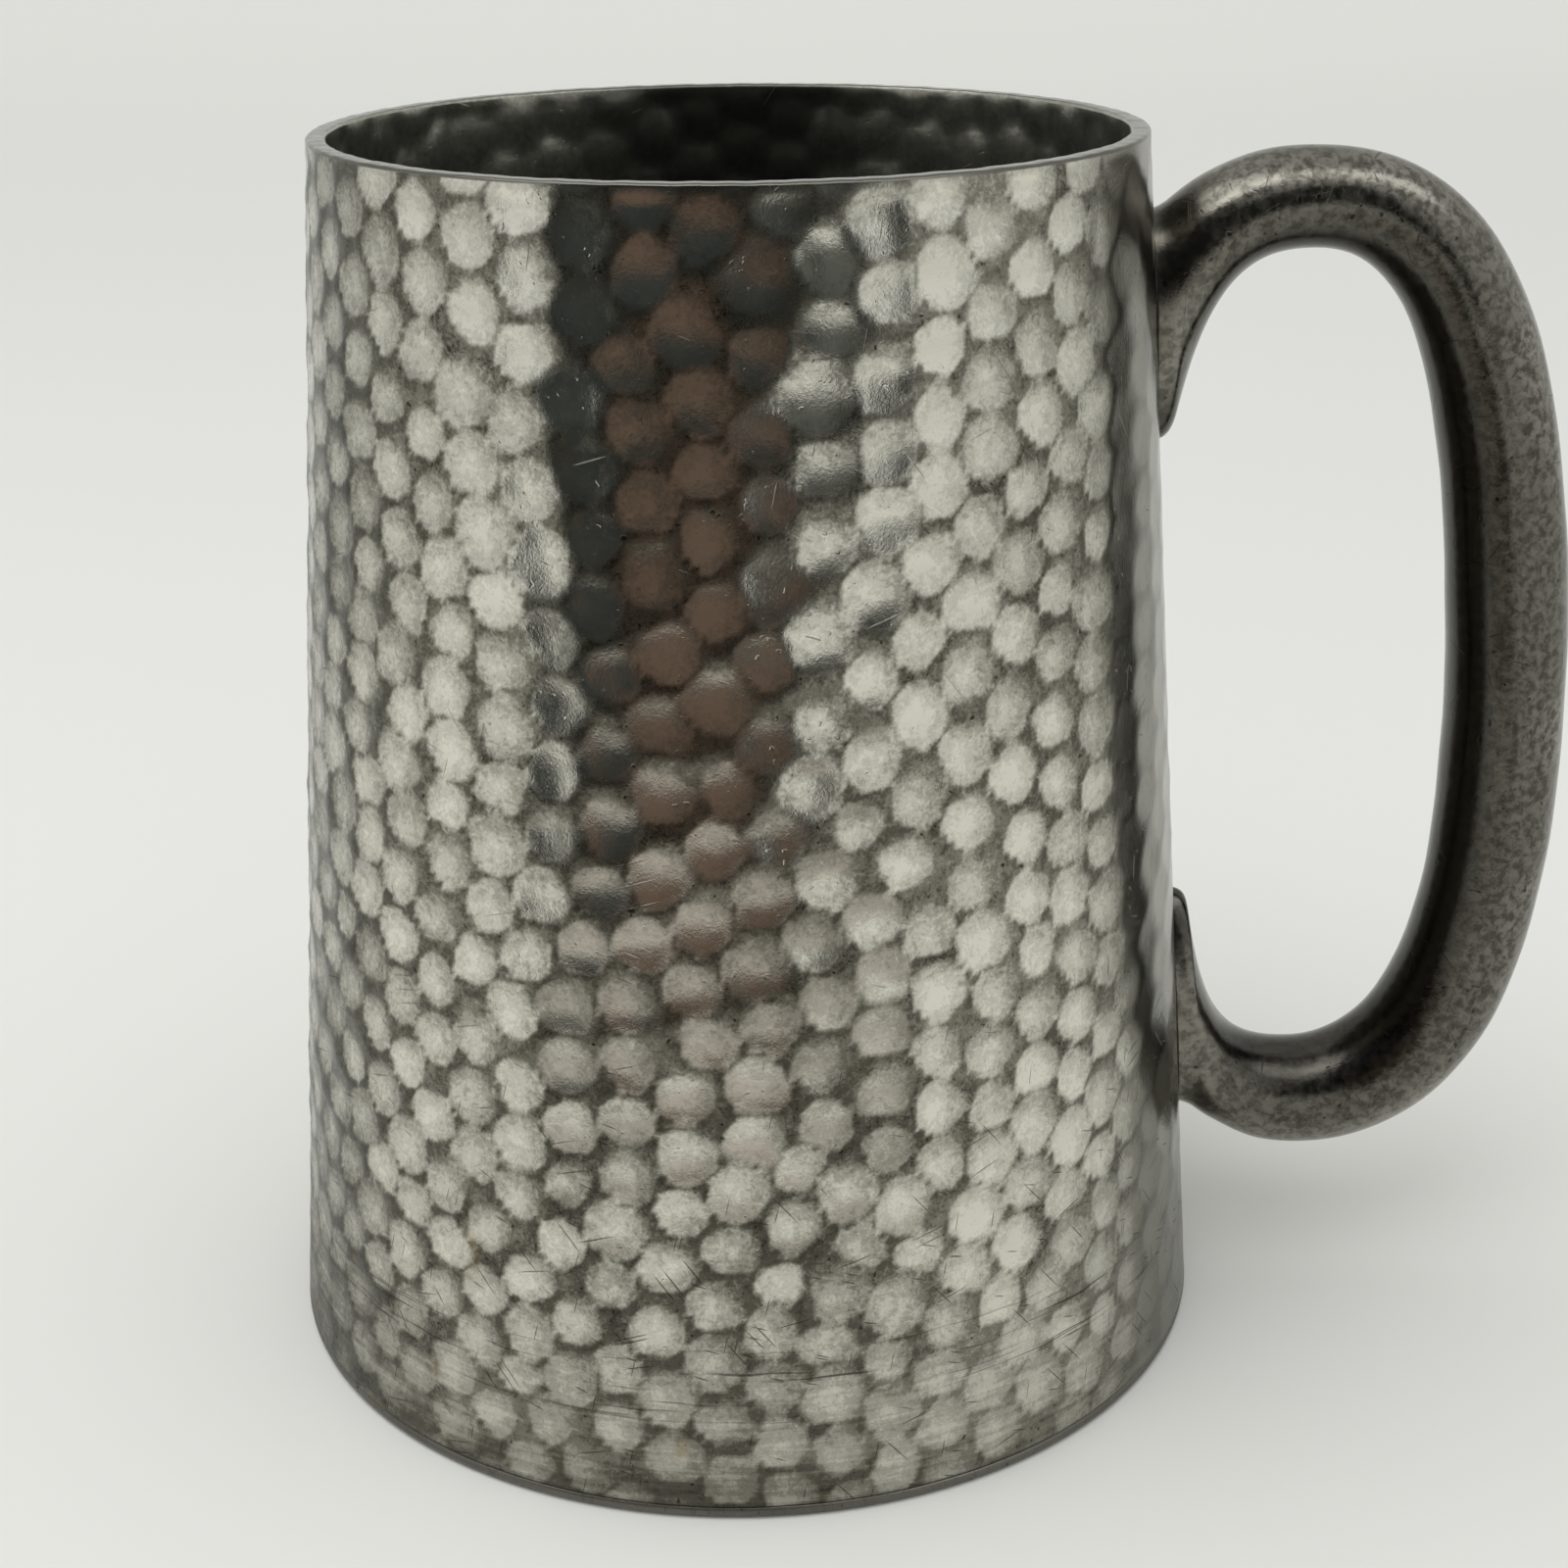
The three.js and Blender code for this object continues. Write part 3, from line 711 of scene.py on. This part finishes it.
# The handle is a hollow slush casting: a round-sectioned loop, thickest at the grip, whose ends flatten into
# tongues along the wall. It was filed smooth by hand and has gone dark and mottled, rubbed paler on its back.
crown_top = vessel_height - 2.3 * mm
crown_reach = 15.1 * mm
crown_thickness = 9.1 * mm
grip_height = 65 * mm
finger_room = 27.7 * mm
grip_thickness = 11.4 * mm
heel_rise = 12.4 * mm
heel_reach = 12 * mm
heel_thickness = 10.8 * mm
upper_tongue_top = vessel_height - 7.1 * mm
upper_tongue_tip = upper_tongue_top - 19.5 * mm
upper_tongue_reach = 1.9 * mm
lower_tongue_rise = 16.5 * mm
lower_tongue_tip = lower_tongue_rise + 22.7 * mm
lower_tongue_reach = 1.75 * mm
upper_shoulder_reach = 8.2 * mm
upper_armpit_reach = 6.0 * mm
lower_shoulder_reach = 6.8 * mm
lower_armpit_reach = 3.2 * mm
section_widths = np.array((11, 11, 9.4, 12.2, 11.4, 11, 11)) * mm
bend_fullness = (0.7, 0.75, 0.7, 0.66, 0.75, 0.7)
handle_sunk = 0.4 * mm
tongue_drop = 0.30
upper_tongue_foot = upper_tongue_top - 0.9 * mm
upper_tongue_end = upper_tongue_tip - 2.6 * mm
lower_tongue_foot = lower_tongue_rise + 0.8 * mm
lower_tongue_end = lower_tongue_tip + 1.5 * mm
bend_steps = 44
root_steps = 14
around_handle = 64


def bend(start, corner, end, fullness, along):
    """A cubic curve from start to end whose end tangents aim at a corner; fullness is how near its own two
    control points come to that corner."""
    start, corner, end = (np.array(point) for point in (start, corner, end))
    leave = start + fullness * (corner - start)
    arrive = end + fullness * (corner - end)
    t = along[:, None]
    return (1 - t) ** 3 * start + 3 * (1 - t) ** 2 * t * leave + 3 * (1 - t) * t**2 * arrive + t**3 * end


def run_on(end, towards, share):
    """The corner of a tongue's root: on the line from towards to end, carried on by a share of its length."""
    return tuple(np.array(end) + share * (np.array(end) - np.array(towards)))


def handle_edges():
    """The outer and inner edge of the loop, as reach from the wall and height, and its width, station by
    station from the upper tongue's root in the wall to the lower one's."""
    grip_reach = finger_room + grip_thickness
    crown_under = crown_top - crown_thickness
    heel_top = heel_rise + heel_thickness
    upper_outer, upper_inner = (upper_tongue_reach, upper_tongue_top), (upper_tongue_reach, upper_tongue_tip)
    lower_outer, lower_inner = (lower_tongue_reach, lower_tongue_rise), (lower_tongue_reach, lower_tongue_tip)
    shoulder, armpit = (upper_shoulder_reach, crown_top), (upper_armpit_reach, crown_under)
    low_shoulder, low_armpit = (lower_shoulder_reach, heel_rise), (lower_armpit_reach, heel_top)
    outer_bends = (
        ((-handle_sunk, upper_tongue_foot), run_on(upper_outer, shoulder, 0.17), upper_outer),
        (upper_outer, shoulder, (crown_reach, crown_top)),
        ((crown_reach, crown_top), (grip_reach, crown_top), (grip_reach, grip_height)),
        ((grip_reach, grip_height), (grip_reach, heel_rise), (heel_reach, heel_rise)),
        ((heel_reach, heel_rise), low_shoulder, lower_outer),
        (lower_outer, run_on(lower_outer, low_shoulder, 0.16), (-handle_sunk, lower_tongue_foot)),
    )
    inner_bends = (
        ((-handle_sunk, upper_tongue_end), run_on(upper_inner, armpit, 0.165), upper_inner),
        (upper_inner, armpit, (crown_reach, crown_under)),
        ((crown_reach, crown_under), (finger_room, crown_under), (finger_room, grip_height)),
        ((finger_room, grip_height), (finger_room, heel_top), (heel_reach, heel_top)),
        ((heel_reach, heel_top), low_armpit, lower_inner),
        (lower_inner, run_on(lower_inner, low_armpit, 0.085), (-handle_sunk, lower_tongue_end)),
    )
    outer, inner, width = [], [], []
    for span, fullness in enumerate(bend_fullness):
        steps = root_steps if span in (0, len(bend_fullness) - 1) else bend_steps
        along = np.linspace(0, 1, steps + 1)[0 if span == 0 else 1:]
        outer.append(bend(*outer_bends[span], fullness, along))
        inner.append(bend(*inner_bends[span], fullness, along))
        wider = section_widths[span + 1] - section_widths[span]
        width.append(section_widths[span] + wider * eased(along, 0, 1))
    return np.concatenate(outer), np.concatenate(inner), np.concatenate(width)


def handle_mesh():
    """Oval rings that stand on the line between the outer and inner edge at each station, narrowed towards
    the inner edge like a drop near the roots, and stirred by a few slow waves of a few hundredths of a
    millimetre, as hand filing leaves. Both ends are closed inside the wall."""
    outer, inner, width = handle_edges()
    angle = np.arange(around_handle) * 2 * math.pi / around_handle
    share = (1 + np.cos(angle))[None, :, None] / 2
    edge = inner[:, None] * (1 - share) + outer[:, None] * share
    steps = np.linalg.norm(np.diff(outer, axis=0), axis=-1) + np.linalg.norm(np.diff(inner, axis=0), axis=-1)
    run = np.append(0, np.cumsum(steps / 2))
    from_root = np.minimum(run, run[-1] - run)
    drop = tongue_drop * (1 - eased(from_root, 3 * mm, 17 * mm))
    filed = np.sin(run[:, None] * 310 + 2 * angle) + np.sin(run[:, None] * 173 - 3 * angle + 1)
    filed = filed + 0.6 * np.sin(run[:, None] * 690 + angle + 2.0)
    swell = 1 + 0.006 * filed
    middle = (outer + inner)[:, None] / 2
    edge = middle + (edge - middle) * swell[..., None]
    across = width[:, None] / 2 * np.sin(angle) * swell * (1 + drop[:, None] * np.cos(angle))
    points = np.stack((wall_radius(edge[..., 1]) + edge[..., 0], across, edge[..., 1]), -1)
    last = (len(points) - 1) * around_handle
    caps = np.stack((np.arange(around_handle)[::-1], last + np.arange(around_handle)))
    faces = [ring_faces(len(points), around_handle)[:, ::-1], caps[:, ::-1]]
    return points, run, from_root, angle, faces


def cast_pewter():
    """Dark satin patina with a fine mottle, faint file marks along the loop, small pits and a few scratches.
    It is paler where a hand has rubbed the back, most of all on the crown and the heel, darkest on the side
    that faces the wall as painted shade, pale again on the tongues, and darker on the back of the upper one."""
    material, tree, shader = new_material("cast_pewter")
    surface = add_node(tree, "ShaderNodeUVMap", uv_map="surface").outputs[0]
    place = add_node(tree, "ShaderNodeTexCoord").outputs["Object"]
    back, inner_side_shade, root = (
        add_node(tree, "ShaderNodeAttribute", attribute_name=mask_name).outputs["Fac"]
        for mask_name in ("back", "inner_side_shade", "root")
    )
    grain = use_effect(tree, pewter_grain, {"Vector": place, "Scale": 0.8})
    scuffs = use_effect(tree, scratches, {"Vector": surface, "Amount": 0.014})["Mask"]
    mottle = noise(tree, place, 1150, 5, 0.62, 0.35)
    drawn = add_node(tree, "ShaderNodeMapping", {"Vector": surface, "Scale": (1500, 45, 1)}).outputs[0]
    streaks = noise(tree, drawn, 1.0, 3, 0.6, 0.2)
    dark = blended(tree, graded(tree, mottle, 0.34, 0.66), (0.060, 0.057, 0.047, 1), (0.155, 0.148, 0.126, 1))
    dark = blended(tree, graded(tree, streaks, 0.50, 0.74, 0.0, 0.30), dark, (0.21, 0.201, 0.171, 1))
    worn_spots = graded(tree, mottle, 0.36, 0.62)
    worn_back = blended(tree, worn_spots, (0.095, 0.091, 0.077, 1), (0.20, 0.192, 0.165, 1))
    height = add_node(tree, "ShaderNodeSeparateXYZ", {0: place}).outputs["Z"]
    on_crown = graded(tree, height, 76 * mm, 102 * mm, 0.38, 0.95)
    worn_share = arithmetic(tree, "MULTIPLY", graded(tree, back, 0.10, 0.75), on_crown)
    dark = blended(tree, worn_share, dark, worn_back)
    on_heel = graded(tree, height, 28 * mm, 16 * mm, 0.0, 0.8)
    on_heel = arithmetic(tree, "MULTIPLY", on_heel, graded(tree, back, 0.05, 0.6))
    worn_heel = blended(tree, worn_spots, (0.16, 0.155, 0.131, 1), (0.30, 0.291, 0.248, 1))
    dark = blended(tree, on_heel, dark, worn_heel)
    # Darkest on the side that faces the wall: painted shade.
    dark = blended(tree, graded(tree, inner_side_shade, 0.15, 0.7, 0.0, 0.75), dark, (0.040, 0.038, 0.034, 1))
    pale_root = blended(tree, worn_spots, (0.17, 0.164, 0.140, 1), (0.34, 0.328, 0.280, 1))
    root_share = arithmetic(tree, "MULTIPLY", root, graded(tree, inner_side_shade, 0.3, 0.8, 0.8, 0.25))
    dark = blended(tree, root_share, dark, pale_root)
    # Darker on the back of the upper tongue's root, beside the wall.
    darker_upper_root = graded(tree, back, 0.0, 0.5, 0.0, 0.8)
    darker_upper_root = arithmetic(tree, "MULTIPLY", darker_upper_root, graded(tree, root, 0.0, 0.5))
    darker_upper_root = arithmetic(tree, "MULTIPLY", darker_upper_root, graded(tree, height, 50 * mm, 70 * mm))
    dark = blended(tree, darker_upper_root, dark, (0.050, 0.046, 0.037, 1))
    rubbed = arithmetic(tree, "MULTIPLY", graded(tree, grain["Cloud"], 0.42, 0.66), back)
    rubbed = arithmetic(tree, "MULTIPLY", rubbed, graded(tree, root, 0.3, 0.0))
    rubbed = arithmetic(tree, "MULTIPLY", rubbed, graded(tree, mottle, 0.40, 0.60))
    dark = blended(tree, arithmetic(tree, "MULTIPLY", rubbed, 0.6), dark, (0.34, 0.32, 0.285, 1))
    dark = blended(tree, arithmetic(tree, "MULTIPLY", grain["Pits"], 0.8), dark, (0.02, 0.018, 0.015, 1))
    dark = blended(tree, arithmetic(tree, "MULTIPLY", scuffs, 0.6), dark, (0.03, 0.027, 0.023, 1))
    tree.links.new(dark, shader.inputs["Base Color"])
    rough = graded(tree, mottle, 0.3, 0.7, 0.16, 0.25)
    tree.links.new(arithmetic(tree, "MULTIPLY_ADD", scuffs, 0.15, rough), shader.inputs["Roughness"])
    shader.inputs["Metallic"].default_value = 1.0
    lined = arithmetic(tree, "MULTIPLY_ADD", mottle, 0.8, grain["Height"])
    lined = arithmetic(tree, "MULTIPLY_ADD", scuffs, -0.4, lined)
    bump = add_node(tree, "ShaderNodeBump", {"Height": lined, "Strength": 0.3, "Distance": 0.00005})
    tree.links.new(bump.outputs[0], shader.inputs["Normal"])
    return material


rings, run, from_root, angle, handle_faces = handle_mesh()
handle = new_piece("loop_handle", rings.reshape(-1, 3), handle_faces)
paint_points(handle, "back", np.tile(np.clip(np.cos(angle), 0, 1), len(rings)))
# The side that faces the wall, which the material darkens as painted shade.
paint_points(handle, "inner_side_shade", np.tile(np.clip(-np.cos(angle), 0, 1), len(rings)))
root_share = np.where(run < run[-1] / 2, 0.6, 0.5) * (1 - eased(from_root, 4 * mm, 12 * mm))
paint_points(handle, "root", np.repeat(root_share, around_handle))
lay_out(handle, np.tile(angle, len(rings)) * 0.5 * grip_thickness, np.repeat(run, around_handle))
handle.data.materials.append(cast_pewter())
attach(handle, "root")
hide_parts("handle_casting")


# Solder holds each tongue to the wall. What shows of it is a narrow hollow fillet all round the tongue, dull
# and dark with old polish, and darker still as painted shade of the crevice.
fillet_leg = 0.28 * mm
around_tongue = 96


def tongue_fillet(name, foot, tip, node):
    """A hollow fillet carried round the drop-shaped oval where a tongue meets the wall: five points across,
    from out along the wall to up the tongue, closed underneath."""
    angle = np.arange(around_tongue) * 2 * math.pi / around_tongue
    half_height, half_width = abs(foot - tip) / 2, section_widths[0] / 2
    lean = np.linspace(0, math.pi / 2, 5)
    out = np.append(fillet_leg * (1 - np.sin(lean)), (-0.3 * mm, 0.3 * mm)) - 0.1 * mm
    lift = np.append(fillet_leg * (1 - np.cos(lean)), (-0.25 * mm, -0.35 * mm))
    uneven = 1 + 0.12 * np.sin(5 * angle + 1) + 0.08 * np.sin(13 * angle)
    out, lift = out[:, None] * uneven, lift[:, None] * uneven
    height = (foot + tip) / 2 + (half_height + out) * np.cos(angle)
    drop = math.copysign(tongue_drop, foot - tip)
    across = (half_width * (1 + drop * np.cos(angle)) + out) * np.sin(angle)
    radius = wall_radius(height) + lift
    points = np.stack((np.sqrt(radius**2 - across**2), across, height), -1)
    faces = ring_faces(len(points) + 1, around_tongue)[:, ::-1] % (len(points) * around_tongue)
    piece = new_piece(name, points.reshape(-1, 3), [faces])
    piece.data.materials.append(solder)
    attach(piece, "root")
    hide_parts(node)


tongue_fillet("upper_tongue_solder", upper_tongue_foot, upper_tongue_end, "upper_handle_solder")
tongue_fillet("lower_tongue_solder", lower_tongue_foot, lower_tongue_end, "lower_handle_solder")


# The studio: a plain pale floor that sweeps up far behind, soft light from all round, and two broad lamps
# above, one on the left and one in front for the gleam. Upright cloth screens round the camera and a card on
# the floor show only in the metal's reflections.
floor_half_width = 3.0
sweep_start = 1.1
sweep_radius = 0.9
screen_distance = 0.25
screen_height = 0.45
brown_top = 0.10


def pale_stage():
    """Plain pale paper, a little darker just behind the vessel than near or far, as painted shade."""
    material, tree, shader = new_material("pale_paper")
    place = add_node(tree, "ShaderNodeTexCoord").outputs["Object"]
    depth = add_node(tree, "ShaderNodeSeparateXYZ", {0: place}).outputs["Y"]
    # Painted shade: the paper is darker just behind the vessel.
    paper = blended(tree, graded(tree, depth, -0.10, 0.35), (0.86, 0.862, 0.838, 1), (0.81, 0.813, 0.795, 1))
    paper = blended(tree, graded(tree, depth, 0.5, 1.6), paper, (0.90, 0.902, 0.88, 1))
    tree.links.new(paper, shader.inputs["Base Color"])
    shader.inputs["Roughness"].default_value = 0.9
    shader.inputs["Specular IOR Level"].default_value = 0.1
    return material


def sweep():
    """A floor of one piece: flat, then a quarter round, then upright, carried from left to right."""
    lean = np.linspace(0, math.pi / 2, 24)
    sweep_end = sweep_start + sweep_radius
    back = np.concatenate(((-floor_half_width,), sweep_start + sweep_radius * np.sin(lean), (sweep_end,)))
    up = np.concatenate(((0.0,), sweep_radius * (1 - np.cos(lean)), (3.0,)))
    sides = np.array((-floor_half_width, floor_half_width))
    points = np.stack(np.broadcast_arrays(sides[None], back[:, None], up[:, None] - 0.02 * mm), -1)
    row = np.arange(len(back) - 1) * 2
    piece = new_piece("floor", points.reshape(-1, 3), [np.stack((row, row + 1, row + 3, row + 2), -1)])
    piece.data.materials.append(pale_stage())


def only_mirrored(name, points, faces, material):
    """A piece of the stage that only the metal's reflections see."""
    piece = new_piece(name, points.reshape(-1, 3), [faces])
    piece.data.materials.append(material)
    piece.visible_camera = False
    piece.visible_diffuse = False
    piece.visible_shadow = False


def screen(name, first, last, low, high, material):
    """An upright screen, curved about the axis between two bearings in degrees from the front."""
    bearing = np.linspace(math.radians(first), math.radians(last), 25)
    aside = screen_distance * np.sin(bearing)
    ahead = -screen_distance * np.cos(bearing)
    level = np.array((low, high))
    points = np.stack(np.broadcast_arrays(aside[None], ahead[None], level[:, None]), -1)
    column = np.arange(len(bearing) - 1)
    faces = np.stack((column, column + 1, len(bearing) + column + 1, len(bearing) + column), -1)
    only_mirrored(name, points, faces, material)


def cloth(name, colour):
    """Plain matt cloth."""
    material, _, shader = new_material(name)
    shader.inputs["Base Color"].default_value = colour
    shader.inputs["Roughness"].default_value = 0.9
    return material


def floor_card():
    """A dull card on the floor before the screens: a sector of a ring round the axis."""
    bearing = np.radians(np.linspace(-45, 35, 33))
    reach = np.array((0.13, screen_distance))[:, None]
    points = np.stack(np.broadcast_arrays(reach * np.sin(bearing), -reach * np.cos(bearing), 0.02 * mm), -1)
    column = np.arange(len(bearing) - 1)
    faces = np.stack((column, len(bearing) + column, len(bearing) + column + 1, column + 1), -1)
    only_mirrored("floor_card", points, faces, dull_cloth)


def soft_lamp(name, place, aim, size, power):
    """A broad area lamp at a place, turned to an aim."""
    lamp = bpy.data.lights.new(name, "AREA")
    lamp.shape = "RECTANGLE"
    lamp.size, lamp.size_y = size
    lamp.energy = power
    holder = bpy.data.objects.new(name, lamp)
    back = (Vector(place) - Vector(aim)).normalized()
    holder.matrix_world = Matrix.Translation(place) @ back.to_track_quat("Z", "Y").to_matrix().to_4x4()
    bpy.context.scene.collection.objects.link(holder)
    return holder


sweep()
brown_cloth = cloth("brown_cloth", (0.168, 0.112, 0.086, 1))
black_cloth = cloth("black_cloth", (0.036, 0.042, 0.043, 1))
grey_cloth = cloth("grey_cloth", (0.13, 0.135, 0.13, 1))
dull_cloth = cloth("dull_cloth", (0.52, 0.488, 0.46, 1))
screen("screen_left", -46, -27, 0.0, screen_height, black_cloth)
screen("screen_middle_low", -27, 8, 0.0, brown_top, brown_cloth)
screen("screen_middle_high", -27, 8, brown_top, screen_height, black_cloth)
screen("screen_right", 8, 14, 0.0, screen_height, black_cloth)
screen("screen_grey", 14, 25, 0.08, 0.25, grey_cloth)
screen("screen_far_right", 25, 36, 0.07, 0.25, black_cloth)
floor_card()
soft_lamp("lamp_above_left", (-0.30, -0.22, 0.98), (0, 0, 0.05), (1.1, 0.6), 2.9)
gleam = soft_lamp("lamp_for_gleam", (0.10, -0.50, 0.95), (0, 0, 0.05), (1.9, 0.4), 3.6)
gleam.visible_diffuse = False

world = bpy.data.worlds.new("soft_room")
world.use_nodes = True
world.node_tree.nodes["Background"].inputs["Color"].default_value = (0.80, 0.805, 0.785, 1)
world.node_tree.nodes["Background"].inputs["Strength"].default_value = 1.0
bpy.context.scene.world = world


# The camera stands in front of the drum, a little above the rim, and looks down across it with the handle to
# the right.
camera_distance = 230.9 * mm
camera_height = 141.9 * mm
look_right = math.radians(1.07)
look_down = math.radians(21.18)
lean_left = math.radians(-0.57)
lens_width = 36.0
lens_length = 57.9

camera_data = bpy.data.cameras.new("camera")
camera_data.sensor_width = lens_width
camera_data.lens = lens_length
camera_data.clip_start = 0.01
camera = bpy.data.objects.new("camera", camera_data)
camera.matrix_world = (
    Matrix.Translation((0, -camera_distance, camera_height))
    @ Matrix.Rotation(-look_right, 4, "Z")
    @ Matrix.Rotation(math.pi / 2 - look_down, 4, "X")
    @ Matrix.Rotation(lean_left, 4, "Z")
)
bpy.context.scene.collection.objects.link(camera)
bpy.context.scene.camera = camera
bpy.context.scene.view_settings.view_transform = "Standard"
